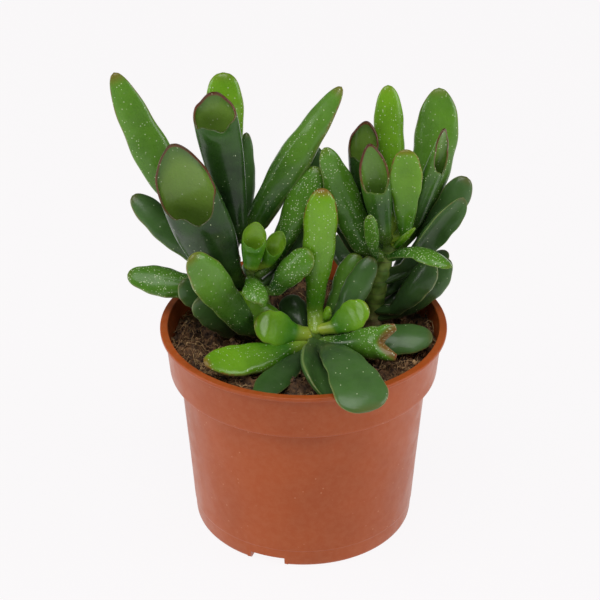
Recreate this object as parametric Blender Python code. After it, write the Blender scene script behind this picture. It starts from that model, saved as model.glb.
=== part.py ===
"""Potted jade plant of the kind with long, partly rolled leaves, in a round plastic nursery pot.

Sizes are in millimetres and angles in degrees; millimetres become metres where a mesh is made.
Frame: +Z up, origin at the centre of the pot's base, on the surface that the pot stands on.
-Y is the front. Compass headings count from +X (0) through +Y (90).
"""

import math
from dataclasses import dataclass

import bmesh
import bpy
import numpy as np
from mathutils import Matrix, Vector

MM = 0.001
GAP = 0.3  # between neighbouring solids that touch on the real plant

# Pot: a tapered cup with a wider collar, an outward lip and a flat base
POT_HEIGHT = 92.0
RIM_RADIUS = 60.0
LIP_OVERHANG = 2.0  # of the lip beyond the top of the collar
LIP_THICKNESS = 1.8
COLLAR_TAPER = 1.7  # by how much the collar's radius shrinks from top to bottom
COLLAR_HEIGHT = 21.0
SHOULDER_HEIGHT = 1.5  # the sloping step between collar and body
SHOULDER_STEP = 4.1  # from the collar's radius in to the body's
BODY_TAPER = 5.4  # by how much the body's radius shrinks from top to base
COLLAR_TOP_RADIUS = RIM_RADIUS - LIP_OVERHANG
COLLAR_BOTTOM_RADIUS = COLLAR_TOP_RADIUS - COLLAR_TAPER
BODY_TOP_RADIUS = COLLAR_BOTTOM_RADIUS - SHOULDER_STEP
BASE_RADIUS = BODY_TOP_RADIUS - BODY_TAPER
BASE_EDGE_RADIUS = 2.0
POT_WALL = 1.3
FLOOR_THICKNESS = 1.6
POT_SEGMENTS = 60

# Three drainage channels under the floor open as notches in the foot of the wall
CHANNEL_HEADINGS = (-109.0, 11.0, 131.0)
CHANNEL_WIDTH = 15.0
CHANNEL_HEIGHT = 3.8
CHANNEL_LENGTH = 16.0
DRAIN_RADIUS = 3.2

# Potting soil
SOIL_DROP = 9.0  # from the lip down to the mean soil surface
SOIL_RELIEF = 1.6
SOIL_SEGMENTS = 32
SOIL_RINGS = 6

# The plant: one factor for every length of it, and how deep its stems are rooted
PLANT_SIZE = 1.0
ROOTED_DEPTH = 22.0
FRONT_SETBACK = 51.0  # from the rim in to the front stem's foot: its longest leaf leans out over the rim
RIM_LEAF_SEAT = 5.0  # that leaf's seat, below the level of the rim
STEM_SIDES = 12

# Mesh density of a leaf
LEAF_RINGS = 9
LEAF_SIDES = 8
HORN_SIDES = 12
HORN_CUP_RINGS = 4
BASE_THICKNESS_SHARE = 0.8  # a leaf's thickness at its seat against its full thickness


@dataclass
class Stem:
    """A stem from the soil to its tip. foot and top are its plan positions, rise its height above soil."""

    name: str
    foot: tuple
    top: tuple
    rise: float
    radius: float
    tip_radius: float

    def share(self, up):
        return up / self.rise

    def centre(self, up):
        """The stem's axis at a height above the soil, leaning over more slowly near its foot."""
        lean = max(self.share(up), 0.0) ** 1.3
        x, y = (a + (b - a) * lean for a, b in zip(self.foot, self.top))
        return np.array([x, y, up]) * PLANT_SIZE + [0, 0, soil_level()]

    def radius_at(self, up):
        share = min(max(self.share(up), 0.0), 1.0)
        return (self.radius + (self.tip_radius - self.radius) * share) * PLANT_SIZE


@dataclass
class Leaf:
    """One leaf. heading, pitch and reach lead straight from its seat on the stem to its tip."""

    name: str
    stem: str
    up: float  # height of its seat above the soil
    heading: float
    pitch: float
    reach: float
    width: float
    thick: float = 5.5
    look: tuple = None  # heading and elevation that the upper face looks towards
    bend: float = 0.0  # turn of the blade towards its upper face, from seat to tip
    sway: float = 0.0  # turn of the blade in its own plane
    curl: float = 0.0  # how far the margins roll up, 180 for half a tube
    neck: float = 0.45  # width at the seat as a share of the full width
    peak: float = 0.66  # where the blade is widest
    lip: float = 0.0  # a horn leaf's lower lip, as a share of its length
    notched: bool = False  # a horn whose mouth has an ear on either side
    from_side: float = None  # heading of the stem's side that it grows from, if not its own


def soil_level():
    return POT_HEIGHT - SOIL_DROP


def direction(heading, elevation):
    h, e = math.radians(heading), math.radians(elevation)
    return np.array([math.cos(h) * math.cos(e), math.sin(h) * math.cos(e), math.sin(e)])


def unit(v):
    return v / np.linalg.norm(v, axis=-1, keepdims=True)


# ---------------------------------------------------------------- scene helpers


def clear_scene():
    for obj in list(bpy.data.objects):
        bpy.data.objects.remove(obj, do_unlink=True)


def plain_material(name, colour, roughness):
    material = bpy.data.materials.new(name)
    material.use_nodes = True
    shader = material.node_tree.nodes["Principled BSDF"]
    shader.inputs["Base Color"].default_value = (*colour, 1.0)
    shader.inputs["Roughness"].default_value = roughness
    shader.inputs["Metallic"].default_value = 0.0
    return material


def add_object(name, mesh, material):
    mesh.materials.append(material)
    obj = bpy.data.objects.new(name, mesh)
    bpy.context.scene.collection.objects.link(obj)
    return obj


def loft(name, first, rings, last, material):
    """A closed solid from a pole, rings of equally many points, and a second pole, in millimetres."""
    rings = np.asarray(rings, float)
    count, around = rings.shape[:2]
    points = np.vstack([[first], rings.reshape(-1, 3), [last]]) * MM
    start = 1 + around * np.arange(count)
    here, after = np.arange(around), (np.arange(around) + 1) % around
    faces = [(0, start[0] + b, start[0] + a) for a, b in zip(here, after)]
    for low, high in zip(start[:-1], start[1:]):
        faces += [(low + a, low + b, high + b, high + a) for a, b in zip(here, after)]
    end = len(points) - 1
    faces += [(end, start[-1] + a, start[-1] + b) for a, b in zip(here, after)]
    mesh = bpy.data.meshes.new(name)
    mesh.from_pydata(points.tolist(), [], [tuple(int(i) for i in f) for f in faces])
    shell = bmesh.new()
    shell.from_mesh(mesh)
    bmesh.ops.recalc_face_normals(shell, faces=shell.faces)
    shell.to_mesh(mesh)
    shell.free()
    mesh.shade_smooth()
    return add_object(name, mesh, material)


def block(name, low, high, heading=0.0):
    """A box cutter or filler between two corners, turned about the Z axis."""
    low, high = Vector(low) * MM, Vector(high) * MM
    mesh = bpy.data.meshes.new(name)
    shell = bmesh.new()
    bmesh.ops.create_cube(shell, size=1.0)
    size, middle = high - low, (high + low) / 2
    bmesh.ops.scale(shell, vec=size, verts=shell.verts)
    bmesh.ops.translate(shell, vec=middle, verts=shell.verts)
    turn = Matrix.Rotation(math.radians(heading), 4, "Z")
    bmesh.ops.transform(shell, matrix=turn, verts=shell.verts)
    shell.to_mesh(mesh)
    shell.free()
    return helper(name, mesh)


def post(name, x, radius, low, high, heading):
    """A vertical round cutter at a distance from the axis."""
    mesh = bpy.data.meshes.new(name)
    shell = bmesh.new()
    bmesh.ops.create_cone(
        shell, cap_ends=True, segments=12, radius1=radius * MM, radius2=radius * MM, depth=(high - low) * MM
    )
    bmesh.ops.translate(shell, vec=Vector((x, 0, (low + high) / 2)) * MM, verts=shell.verts)
    turn = Matrix.Rotation(math.radians(heading), 4, "Z")
    bmesh.ops.transform(shell, matrix=turn, verts=shell.verts)
    shell.to_mesh(mesh)
    shell.free()
    return helper(name, mesh)


def helper(name, mesh):
    obj = bpy.data.objects.new(name, mesh)
    bpy.context.scene.collection.objects.link(obj)
    obj.hide_render = True
    obj.display_type = "WIRE"
    return obj


def combine(obj, other, operation):
    modifier = obj.modifiers.new(f"{operation.lower()}_{other.name}", "BOOLEAN")
    modifier.operation = operation
    modifier.object = other
    modifier.solver = "EXACT"


# ---------------------------------------------------------------- pot and soil


def wall_inner_radius(height):
    """The inside radius of the pot at a height, in the body or in the collar."""
    shoulder = POT_HEIGHT - COLLAR_HEIGHT + SHOULDER_HEIGHT
    if height >= shoulder:
        share = (height - shoulder) / (POT_HEIGHT - shoulder)
        return COLLAR_BOTTOM_RADIUS + (COLLAR_TOP_RADIUS - COLLAR_BOTTOM_RADIUS) * share - POT_WALL
    share = height / (POT_HEIGHT - COLLAR_HEIGHT)
    return BASE_RADIUS + (BODY_TOP_RADIUS - BASE_RADIUS) * min(share, 1.0) - POT_WALL


def inner_step():
    """The two corners, inner one first, of the step between body and collar on the inside."""
    shoulder = POT_HEIGHT - COLLAR_HEIGHT
    top = shoulder + SHOULDER_HEIGHT
    return [(wall_inner_radius(shoulder), shoulder + POT_WALL * 0.4), (wall_inner_radius(top), top)]


def pot_profile():
    """Radius and height round the wall's section: out along the base, up the outside, down the inside."""
    shoulder = POT_HEIGHT - COLLAR_HEIGHT
    edge = [
        (
            BASE_RADIUS - BASE_EDGE_RADIUS + BASE_EDGE_RADIUS * math.sin(math.radians(a)),
            BASE_EDGE_RADIUS - BASE_EDGE_RADIUS * math.cos(math.radians(a)),
        )
        for a in (0, 30, 60, 90)
    ]
    lip_under = POT_HEIGHT - LIP_THICKNESS
    lip_round = LIP_THICKNESS / 2
    outside = [
        (BODY_TOP_RADIUS, shoulder),
        (COLLAR_BOTTOM_RADIUS - 0.6, shoulder + 0.3),
        (COLLAR_BOTTOM_RADIUS, shoulder + SHOULDER_HEIGHT),
        (COLLAR_TOP_RADIUS, lip_under),
        (RIM_RADIUS - lip_round, lip_under),
        (RIM_RADIUS, lip_under + lip_round),
        (RIM_RADIUS - lip_round, POT_HEIGHT),
    ]
    inside = [
        (wall_inner_radius(POT_HEIGHT), POT_HEIGHT - 0.3),
        *reversed(inner_step()),
        (wall_inner_radius(FLOOR_THICKNESS), FLOOR_THICKNESS),
    ]
    return edge + outside + inside


def revolve(profile, segments):
    """Rings of points, one per profile point, turned about the Z axis."""
    turn = 2 * np.pi * np.arange(segments) / segments
    return [
        np.stack([r * np.cos(turn), r * np.sin(turn), np.full(segments, z)], axis=1)
        for r, z in profile
    ]


def make_pot(material):
    rings = revolve(pot_profile(), POT_SEGMENTS)
    pot = loft("pot", (0, 0, 0), rings, (0, 0, FLOOR_THICKNESS), material)
    pot.data.set_sharp_from_angle(angle=math.radians(35))
    inner_end = BASE_RADIUS - CHANNEL_LENGTH
    roof = CHANNEL_HEIGHT + FLOOR_THICKNESS
    half = CHANNEL_WIDTH / 2
    for i, heading in enumerate(CHANNEL_HEADINGS):
        cover = block(
            f"channel_cover_{i + 1}",
            (inner_end - FLOOR_THICKNESS, -half - FLOOR_THICKNESS, FLOOR_THICKNESS / 2),
            (BASE_RADIUS - POT_WALL / 2, half + FLOOR_THICKNESS, roof),
            heading,
        )
        channel = block(
            f"channel_{i + 1}", (inner_end, -half, -1), (BASE_RADIUS + 5, half, CHANNEL_HEIGHT), heading
        )
        drain = post(
            f"drain_{i + 1}", inner_end + CHANNEL_LENGTH / 2, DRAIN_RADIUS, 1.0, roof + 2.0, heading
        )
        combine(pot, cover, "UNION")
        combine(pot, channel, "DIFFERENCE")
        combine(pot, drain, "DIFFERENCE")
    return pot


def soil_height(x, y):
    """The lumpy soil surface: a few crossing waves, calm at the wall."""
    waves = np.sin(0.13 * x + 0.6) * np.cos(0.11 * y - 0.4) + 0.5 * np.sin(0.29 * y + 0.17 * x)
    return soil_level() + SOIL_RELIEF * waves * 0.7


def make_soil(stems, material):
    bottom = FLOOR_THICKNESS + GAP
    profile = [(wall_inner_radius(bottom) - GAP, bottom)]
    profile += [(radius - GAP, height + 2 * GAP) for radius, height in inner_step()]
    rings = revolve(profile, SOIL_SEGMENTS)
    turn = 2 * np.pi * np.arange(SOIL_SEGMENTS) / SOIL_SEGMENTS
    edge = wall_inner_radius(soil_level()) - GAP - 0.3
    for share in np.linspace(1.0, 1.0 / SOIL_RINGS, SOIL_RINGS):
        x, y = edge * share * np.cos(turn), edge * share * np.sin(turn)
        rings.append(np.stack([x, y, soil_height(x, y)], axis=1))
    middle = (0, 0, float(soil_height(0.0, 0.0)))
    soil = loft("potting_soil", (0, 0, bottom), rings, middle, material)
    inner_end = BASE_RADIUS - CHANNEL_LENGTH - FLOOR_THICKNESS - GAP
    half = CHANNEL_WIDTH / 2 + FLOOR_THICKNESS + GAP
    roof = CHANNEL_HEIGHT + FLOOR_THICKNESS + GAP
    for i, heading in enumerate(CHANNEL_HEADINGS):
        relief = block(f"soil_relief_{i + 1}", (inner_end, -half, 0), (BASE_RADIUS, half, roof), heading)
        combine(soil, relief, "DIFFERENCE")
    for stem in stems:
        first, rings, last = stem_rings(stem, GAP)
        bore = loft(f"{stem.name}_bore", first, rings, last, material)
        bore.hide_render = True
        bore.display_type = "WIRE"
        combine(soil, bore, "DIFFERENCE")
    return soil


# ---------------------------------------------------------------- stems and leaves


def stem_rings(stem, growth=0.0):
    """End poles and rings of a stem, swollen at its leaf joints; growth widens it for its bore."""
    heights = [-ROOTED_DEPTH, -8.0, 0.0]
    heights += [stem.rise * share for share in (0.2, 0.4, 0.6, 0.8, 0.95)]
    turn = 2 * np.pi * np.arange(STEM_SIDES) / STEM_SIDES
    rings = []
    for i, up in enumerate(heights):
        radius = stem.radius_at(up) * (0.92 if i % 2 else 1.0) + growth
        x, y, z = stem.centre(up)
        circle = [x + radius * np.cos(turn), y + radius * np.sin(turn), np.full(STEM_SIDES, z)]
        rings.append(np.stack(circle, axis=1))
    first = stem.centre(-ROOTED_DEPTH) - [0, 0, 3.0 + growth]
    last = stem.centre(stem.rise) + [0, 0, growth]
    return first, rings, last


def seat_shift(leaf, stem, points):
    """How far a leaf that starts on the stem's axis has to move out to lie just clear of the stem."""
    outward = direction(leaf.heading if leaf.from_side is None else leaf.from_side, 0.0)
    ups = (points[:, 2] - soil_level()) / PLANT_SIZE
    away = 0.0
    for point, up in zip(points, ups):
        if up > stem.rise:
            continue
        # Solve |offset + outward * away| = radius + gap in plan, for the outer solution
        offset = (point - stem.centre(up))[:2]
        along = offset @ outward[:2]
        room = (stem.radius_at(up) + GAP) ** 2 - offset @ offset + along**2
        if room > 0:
            away = max(away, math.sqrt(room) - along)
    return outward * away


def sample(shares, fine, vectors):
    """Vectors that are known at fine steps, read off between them."""
    return np.stack([np.interp(shares, fine, vectors[:, k]) for k in range(3)], axis=1)


def leaf_spine(leaf, seat, shares):
    """Points along the blade, with its upper-face normal and its side vector at each."""
    chord = direction(leaf.heading, leaf.pitch)
    look = direction(*leaf.look) if leaf.look else direction(leaf.heading, leaf.pitch + 90)
    normal = unit(look - chord * (look @ chord))
    side = np.cross(chord, normal)
    fine = np.linspace(0, 1, 121)
    up_turn = np.radians(leaf.bend * (fine - 0.5))
    side_turn = np.radians(leaf.sway * (fine - 0.5))
    steps = np.stack(
        [np.cos(up_turn) * np.cos(side_turn), np.sin(side_turn), np.sin(up_turn)], axis=1
    )
    middle = (steps[1:] + steps[:-1]) / 2
    path = np.vstack([np.zeros(3), np.cumsum(middle, axis=0) / 120])
    # Turn and stretch the path so that it runs from the seat to the tip that the leaf asks for
    end = path[-1]
    along = unit(end)
    across = unit(np.cross([0, 0, 1.0], along))
    frame = np.stack([along, across, np.cross(along, across)])
    world = np.stack([chord, side, normal])
    turn = frame.T @ world
    scale = leaf.reach * PLANT_SIZE / np.linalg.norm(end)
    centre = seat + sample(shares, fine, path @ turn) * scale
    tangent = unit(sample(shares, fine, steps @ turn))
    facing = unit(normal - tangent * (tangent @ normal)[:, None])
    return centre, facing, np.cross(tangent, facing)


def blade_outline(leaf, shares):
    """Half width and half thickness along the blade: a narrow neck, a broad end and a round tip."""
    s = np.asarray(shares)
    rise = np.clip(s / leaf.peak, 0, 1)
    rise = rise * rise * (3 - 2 * rise)
    fall = np.clip((s - leaf.peak) / (1 - leaf.peak), 0, 1)
    tip = np.sqrt(np.clip(1 - fall**2.2, 0, 1))
    start = np.sqrt(np.clip(s / 0.05, 0, 1))
    width = (leaf.neck + (1 - leaf.neck) * rise) * tip * start
    belly = BASE_THICKNESS_SHARE + (1 - BASE_THICKNESS_SHARE) * np.sin(np.pi * np.clip(s / 0.7, 0, 1))
    thick = belly * (1 - 0.35 * fall) * tip**0.8 * start
    return leaf.width / 2 * PLANT_SIZE * width, leaf.thick / 2 * PLANT_SIZE * thick


def blade_rings(leaf, stem):
    """A solid paddle or trough leaf: lens-shaped sections along the spine, rolled up by curl."""
    t = np.linspace(0, 1, LEAF_RINGS + 2)[1:-1]
    shares = t - 0.35 * np.sin(2 * np.pi * t) / (2 * np.pi)
    shares[0], shares[-1] = 0.015, 0.985
    seat = stem.centre(leaf.up)
    centre, facing, side = leaf_spine(leaf, seat, shares)
    half_width, half_thick = blade_outline(leaf, shares)
    turn = 2 * np.pi * np.arange(LEAF_SIDES) / LEAF_SIDES
    across = half_width[:, None] * np.cos(turn)
    depth = half_thick[:, None] * np.sin(turn)
    roll = np.radians(max(leaf.curl, 1.0) / 2) * np.clip(shares / 0.4, 0, 1)[:, None]
    arc = np.maximum(half_width, 0.01)[:, None] / np.maximum(roll, 0.01)
    angle = across / arc
    sideways = (arc - depth) * np.sin(angle)
    lifted = arc - (arc - depth) * np.cos(angle)
    rings = centre[:, None] + side[:, None] * sideways[..., None] + facing[:, None] * lifted[..., None]
    ends, _, _ = leaf_spine(leaf, seat, [0.0, 1.0])
    return ends[0], rings, ends[1]


def horn_rings(leaf, stem):
    """A horn leaf: a tube whose slanted mouth opens on the upper side, with a cup inside it.

    A ring's height along the blade runs from the lip on the upper side to the ear on the lower side.
    """
    turn = 2 * np.pi * np.arange(HORN_SIDES) / HORN_SIDES
    to_ear = np.abs(np.cos(turn)) ** 1.5 if leaf.notched else ((1 - np.sin(turn)) / 2) ** 0.8
    mouth = leaf.lip + (0.985 - leaf.lip) * to_ear
    cup_floor = leaf.lip - 0.1
    outer = np.array([0.015, 0.1, 0.25, 0.42, 0.6, 0.76, 0.88, 0.96, 1.0])
    levels = [(share * mouth, 1.0) for share in outer]
    for k in range(HORN_CUP_RINGS):
        q = np.pi / 2 * (k + 0.4) / HORN_CUP_RINGS
        levels.append((mouth + (cup_floor - mouth) * math.sin(q) ** 1.2, 0.78 * math.cos(q) ** 0.5))
    seat = stem.centre(leaf.up)
    rings = []
    for shares, scale in levels:
        centre, facing, side = leaf_spine(leaf, seat, shares)
        half_width, half_thick = horn_outline(leaf, shares)
        across = half_width * np.cos(turn) * scale
        depth = half_thick * np.sin(turn) * scale
        rings.append(centre + side * across[:, None] + facing * depth[:, None])
    ends, _, _ = leaf_spine(leaf, seat, [0.0, cup_floor])
    return ends[0], np.array(rings), ends[1]


def horn_outline(leaf, shares):
    """Half width and half thickness of a horn: a round neck that widens steadily into the mouth."""
    s = np.asarray(shares)
    start = np.sqrt(np.clip(s / 0.05, 0, 1))
    widen = np.clip(s / leaf.peak, 0, 1)
    widen = widen * widen * (3 - 2 * widen)
    close = np.clip((s - leaf.peak) / (1.02 - leaf.peak), 0, 1)
    width = (leaf.neck + (1 - leaf.neck) * widen) * np.sqrt(1 - close**2.4 * 0.6) * start
    thick = (0.7 + 0.3 * widen) * (1 - 0.25 * close) * start
    return leaf.width / 2 * PLANT_SIZE * width, leaf.thick / 2 * PLANT_SIZE * thick


def make_stem(stem, material):
    return loft(stem.name, *stem_rings(stem), material)


def make_leaf(leaf, stem, material):
    first, rings, last = horn_rings(leaf, stem) if leaf.lip else blade_rings(leaf, stem)
    shift = seat_shift(leaf, stem, np.vstack([[first], rings.reshape(-1, 3)]))
    return loft(leaf.name, first + shift, rings + shift, last + shift, material)


FRONT_FOOT = FRONT_SETBACK - RIM_RADIUS / PLANT_SIZE
RIM_LEAF_UP = SOIL_DROP / PLANT_SIZE - RIM_LEAF_SEAT
STEMS = [
    Stem("left_stem", foot=(-26, 6), top=(-31, 9), rise=44, radius=5.6, tip_radius=4.4),
    Stem("middle_stem", foot=(-13, -1), top=(-22, -3), rise=37, radius=5.0, tip_radius=3.9),
    Stem("front_stem", foot=(5, FRONT_FOOT), top=(5, FRONT_FOOT - 4), rise=13, radius=5.0, tip_radius=4.4),
    Stem("right_stem", foot=(29, 12), top=(36, 12), rise=42, radius=5.8, tip_radius=4.7),
]

FRONT = (-90, 33)  # heading and elevation of someone who looks at the plant from the front

LEAVES = [
    # left stem, from the lowest leaves up
    Leaf("left_low_leaf_1", "left_stem", up=4, heading=-139, pitch=51, reach=32, width=14, neck=0.7,
         look=(-100, 30), from_side=-100),
    Leaf("left_low_leaf_2", "left_stem", up=9, heading=-154, pitch=49, reach=29, width=12, neck=0.6,
         look=(-80, 30)),
    Leaf("left_side_leaf", "left_stem", up=17, heading=178, pitch=12, reach=42, width=13.5, thick=6,
         look=(-90, 55), from_side=160),
    Leaf("left_rear_leaf_1", "left_stem", up=23, heading=166, pitch=42, reach=52, width=13,
         look=(-70, 40), from_side=150),
    Leaf("left_back_leaf_1", "left_stem", up=15, heading=128, pitch=40, reach=42, width=14),
    Leaf("left_back_leaf_2", "left_stem", up=8, heading=75, pitch=22, reach=34, width=14),
    Leaf("big_horn_leaf", "left_stem", up=20, heading=-156, pitch=71, reach=79, width=27, thick=12,
         look=(-112, 12), lip=0.57, neck=0.5, peak=0.5, from_side=-100),
    Leaf("left_outer_leaf", "left_stem", up=34, heading=168, pitch=62, reach=89, width=15.5, thick=6,
         look=FRONT, sway=14, peak=0.62, from_side=150),
    Leaf("left_horn_leaf", "left_stem", up=36, heading=-178, pitch=81, reach=77, width=18.5, thick=10,
         look=(-105, 5), lip=0.87, neck=0.4, peak=0.8, from_side=-50),
    Leaf("left_tall_leaf", "left_stem", up=40, heading=106, pitch=79, reach=70, width=15.5, thick=6,
         look=FRONT, neck=0.35, peak=0.82),
    Leaf("left_rear_leaf_2", "left_stem", up=37, heading=82, pitch=70, reach=48, width=9, thick=5,
         look=FRONT, peak=0.45, from_side=50),
    Leaf("left_long_leaf", "left_stem", up=41, heading=10, pitch=59, reach=78, width=12, thick=8.5,
         look=(-120, 40), bend=-10, peak=0.55, from_side=10),
    Leaf("left_bud_leaf", "left_stem", up=43, heading=75, pitch=84, reach=39, width=3.2, thick=2,
         peak=0.5, from_side=-138),
    # middle stem
    Leaf("middle_low_leaf", "middle_stem", up=5, heading=-145, pitch=58, reach=56, width=15.5, thick=7,
         look=(-75, 35), neck=0.6, peak=0.7),
    Leaf("curled_leaf", "middle_stem", up=32, heading=-76, pitch=0, reach=19, width=16, thick=2.2,
         look=(-110, -40), bend=80, curl=150, neck=0.38, from_side=-112),
    Leaf("speckled_side_leaf", "middle_stem", up=24, heading=-16, pitch=52, reach=29, width=12,
         look=(-80, 50), sway=25, from_side=-40),
    Leaf("middle_rear_leaf", "middle_stem", up=26, heading=39, pitch=45, reach=38, width=9, look=FRONT),
    Leaf("speckled_leaf", "middle_stem", up=31, heading=21, pitch=63, reach=51, width=13, thick=7.5,
         look=(-90, 45), peak=0.72, from_side=30),
    Leaf("middle_bud_leaf_1", "middle_stem", up=34, heading=-33, pitch=82, reach=27, width=9, thick=3,
         look=FRONT, curl=60, from_side=-100),
    Leaf("middle_bud_leaf_2", "middle_stem", up=35, heading=-19, pitch=68, reach=21, width=8, thick=3,
         look=FRONT, curl=60),
    # front stem
    Leaf("front_low_leaf_1", "front_stem", up=4, heading=-121, pitch=-1, reach=41, width=12, thick=3.5,
         look=(-90, 70)),
    Leaf("front_low_leaf_2", "front_stem", up=4, heading=127, pitch=43, reach=20, width=12, look=FRONT),
    Leaf("front_right_leaf", "front_stem", up=4.7, heading=-1, pitch=5, reach=44, width=15, thick=5,
         look=(-90, 60), from_side=-15),
    Leaf("front_rim_leaf", "front_stem", up=RIM_LEAF_UP, heading=-70, pitch=3, reach=54, width=21, thick=4,
         look=(-80, 70), bend=-75, neck=0.38, peak=0.8),
    Leaf("front_rear_leaf_1", "front_stem", up=6, heading=41, pitch=58, reach=37, width=10.6, thick=4.5,
         look=FRONT, peak=0.75, from_side=61),
    Leaf("front_rear_leaf_2", "front_stem", up=7, heading=33, pitch=57, reach=38, width=11,
         look=(-90, 30), neck=0.6, from_side=10),
    Leaf("front_tall_leaf", "front_stem", up=10, heading=0, pitch=87, reach=63, width=14, thick=8,
         look=FRONT, peak=0.72, from_side=95),
    Leaf("front_left_leaf", "front_stem", up=7.5, heading=-147, pitch=12, reach=49, width=13.5,
         look=(-95, 60), bend=30, peak=0.6),
    Leaf("front_drooping_leaf", "front_stem", up=7, heading=-97, pitch=-6, reach=35, width=12, thick=2.8,
         look=(-20, 50), sway=-70, curl=120),
    Leaf("front_horn_leaf", "front_stem", up=7, heading=-27, pitch=25, reach=33, width=15, thick=7.2,
         look=FRONT, lip=0.86, notched=True),
    Leaf("front_round_leaf_1", "front_stem", up=10, heading=-144, pitch=29.5, reach=26, width=13.5,
         thick=5, look=FRONT, curl=40, neck=0.3, peak=0.6),
    Leaf("front_round_leaf_2", "front_stem", up=9.5, heading=-174, pitch=38, reach=29, width=12,
         thick=4.5, look=FRONT, neck=0.3, peak=0.75),
    Leaf("front_round_leaf_3", "front_stem", up=12.5, heading=14, pitch=52, reach=15, width=11.5,
         thick=3.8, look=FRONT, curl=50, neck=0.4, peak=0.6),
    Leaf("front_bud_leaf", "front_stem", up=11, heading=38, pitch=76, reach=9, width=2.6, thick=2.2,
         from_side=52),
    # right stem
    Leaf("right_low_leaf_1", "right_stem", up=7, heading=-15, pitch=57, reach=34, width=12,
         look=(-120, 20), sway=-15, from_side=-30),
    Leaf("right_low_leaf_2", "right_stem", up=4, heading=4, pitch=48, reach=37, width=12,
         look=(-100, 20), sway=-40),
    Leaf("right_low_leaf_3", "right_stem", up=13, heading=29, pitch=55, reach=21, width=10,
         look=(-110, 20), from_side=40),
    Leaf("right_back_leaf_1", "right_stem", up=5, heading=35, pitch=30, reach=38, width=13),
    Leaf("right_back_leaf_2", "right_stem", up=8, heading=112, pitch=30, reach=36, width=14),
    Leaf("right_rear_leaf_1", "right_stem", up=25, heading=155, pitch=62, reach=61, width=12.6,
         look=FRONT),
    Leaf("right_side_leaf", "right_stem", up=20, heading=14, pitch=57, reach=55, width=12.5,
         look=(-90, 20), sway=-12, peak=0.78, from_side=12),
    Leaf("right_folded_leaf", "right_stem", up=24, heading=-13, pitch=57, reach=48, width=13, thick=3,
         look=(-60, 25), curl=130, from_side=-6),
    Leaf("right_arched_leaf", "right_stem", up=33, heading=-39, pitch=17, reach=36, width=13, thick=3,
         look=(-90, -60), bend=78, curl=130, neck=0.22, from_side=-102),
    Leaf("right_speckled_leaf", "right_stem", up=32, heading=-165, pitch=70, reach=58, width=14,
         look=(-70, 20), neck=0.55, peak=0.5),
    Leaf("right_small_leaf", "right_stem", up=32, heading=-101, pitch=58, reach=39, width=6, thick=3,
         look=FRONT, from_side=-135),
    Leaf("right_broad_leaf", "right_stem", up=33, heading=46, pitch=71, reach=71, width=18, thick=6,
         look=FRONT, sway=-30, from_side=45),
    Leaf("right_rear_leaf_2", "right_stem", up=34, heading=120, pitch=82, reach=57, width=15, thick=9,
         look=(-125, 10), lip=0.7, from_side=150),
    Leaf("right_pinched_leaf", "right_stem", up=37, heading=-14, pitch=73, reach=58, width=11, thick=7.6,
         look=(-35, 15), lip=0.66, from_side=14),
    Leaf("right_tall_leaf", "right_stem", up=39.5, heading=100, pitch=78, reach=64, width=13, thick=6,
         look=(-80, 20), from_side=80),
    Leaf("right_horn_leaf", "right_stem", up=38, heading=-146, pitch=80, reach=53, width=12, thick=7.5,
         look=FRONT, lip=0.6, from_side=-100),
    Leaf("right_round_leaf", "right_stem", up=40, heading=-110, pitch=86, reach=46, width=13.5, thick=5,
         look=FRONT, curl=40, neck=0.33, peak=0.75, from_side=-33),
    Leaf("right_bud_leaf", "right_stem", up=39.5, heading=-52, pitch=50, reach=20, width=4, thick=2,
         from_side=-75),
]


def main():
    clear_scene()
    terracotta = plain_material("terracotta_plastic", (0.46, 0.13, 0.05), 0.45)
    peat = plain_material("peat", (0.05, 0.03, 0.018), 0.95)
    bark = plain_material("green_bark", (0.16, 0.17, 0.06), 0.7)
    flesh = plain_material("leaf_flesh", (0.07, 0.2, 0.03), 0.4)
    stems = {stem.name: stem for stem in STEMS}
    make_pot(terracotta)
    make_soil(STEMS, peat)
    for stem in STEMS:
        make_stem(stem, bark)
    for leaf in LEAVES:
        make_leaf(leaf, stems[leaf.stem], flesh)
    bpy.context.view_layer.update()


main()
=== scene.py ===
# Jade plant with long, partly rolled leaves in a round plastic nursery pot.
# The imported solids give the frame; every visible piece here is a finer surface that stands for one of them.
# Lengths are in millimetres and angles in degrees until a mesh is made. -Y is the front.
import functools
import math

import bpy
import numpy as np
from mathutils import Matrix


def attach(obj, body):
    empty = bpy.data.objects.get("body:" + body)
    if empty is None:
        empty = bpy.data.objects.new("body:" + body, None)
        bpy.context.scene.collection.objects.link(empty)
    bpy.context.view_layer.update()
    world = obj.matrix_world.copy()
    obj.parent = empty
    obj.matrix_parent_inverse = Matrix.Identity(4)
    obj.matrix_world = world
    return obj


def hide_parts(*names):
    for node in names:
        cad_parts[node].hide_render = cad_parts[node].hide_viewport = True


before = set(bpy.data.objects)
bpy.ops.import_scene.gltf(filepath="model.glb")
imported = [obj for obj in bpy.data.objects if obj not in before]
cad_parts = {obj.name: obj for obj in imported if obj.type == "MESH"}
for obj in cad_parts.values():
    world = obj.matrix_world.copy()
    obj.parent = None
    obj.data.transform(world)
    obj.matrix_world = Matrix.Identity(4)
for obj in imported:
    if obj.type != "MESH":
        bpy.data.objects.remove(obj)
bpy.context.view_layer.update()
toMetres = 0.001
perMetre = 1000  # pattern scales: this over a size in millimetres
gap = 0.3  # the clearance that the solids keep from each other
colourMix = {"output": 2, "data_type": "RGBA"}  # input 0 is the share of colour 7 over colour 6
smoothRange = {"interpolation_type": "SMOOTHSTEP"}  # inputs 1 and 2 are taken to 3 and 4, or to 0 and 1


# small helpers

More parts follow.
